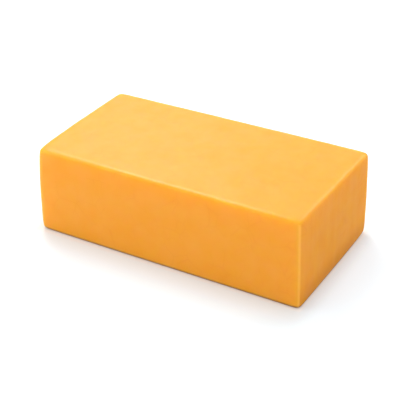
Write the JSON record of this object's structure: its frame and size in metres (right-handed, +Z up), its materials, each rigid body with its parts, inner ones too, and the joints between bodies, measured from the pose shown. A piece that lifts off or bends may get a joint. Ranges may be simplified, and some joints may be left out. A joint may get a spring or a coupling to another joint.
{
  "type": "cheddar block",
  "caption": "Rectangular block of orange cheddar cheese with softly rounded edges, slightly out of square, lying on its flat base.",
  "frame": {"origin": "middle of the base, on the surface that the block lies on", "axes": "+X along the long side, towards the block's right end in the front view; -Y out of the long front face; +Z up"},
  "size_m": [0.1714, 0.0932, 0.0534],
  "materials": {
    "cheddar": "satin"
  },
  "bodies": {
    "root": {"cheddar_block": "cheddar"}
  },
  "joints": []
}
